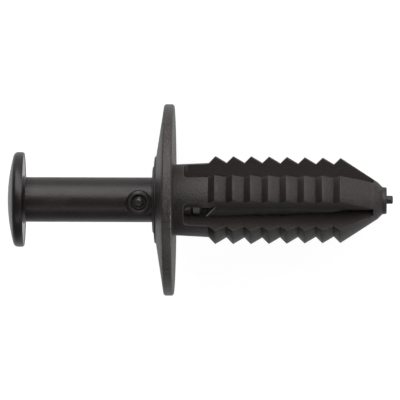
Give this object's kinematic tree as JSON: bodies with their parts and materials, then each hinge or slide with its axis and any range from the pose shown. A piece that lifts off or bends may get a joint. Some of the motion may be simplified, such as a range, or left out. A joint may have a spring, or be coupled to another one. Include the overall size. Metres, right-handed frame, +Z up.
{
  "type": "car trim clip",
  "caption": "Push-in trim clip with a wide flange, a toothed split stem and a round-headed drive pin that slides in to spread the legs.",
  "frame": {"origin": "on the surface that the clip lies on, under the middle of the box of the whole clip", "axes": "+X from the head of the pin towards the nose, +Y across the clip, +Z up; the clip lies on the rim of its flange and on two corners of its last tooth, so its own axis runs down towards the nose by 18.5 degrees"},
  "size_m": [0.043, 0.022, 0.0212],
  "materials": {
    "body_nylon": "fine matte mould texture",
    "pin_nylon": "fine matte mould texture"
  },
  "bodies": {
    "clip_body": {"clip_body": "body_nylon"},
    "drive_pin": {"drive_pin": "pin_nylon"}
  },
  "joints": [
    {"name": "pin_push", "type": "slide", "parent": "clip_body", "child": "drive_pin", "axis": [0.9486, 0, -0.3165], "range_m": [0, 0.01476]}
  ]
}
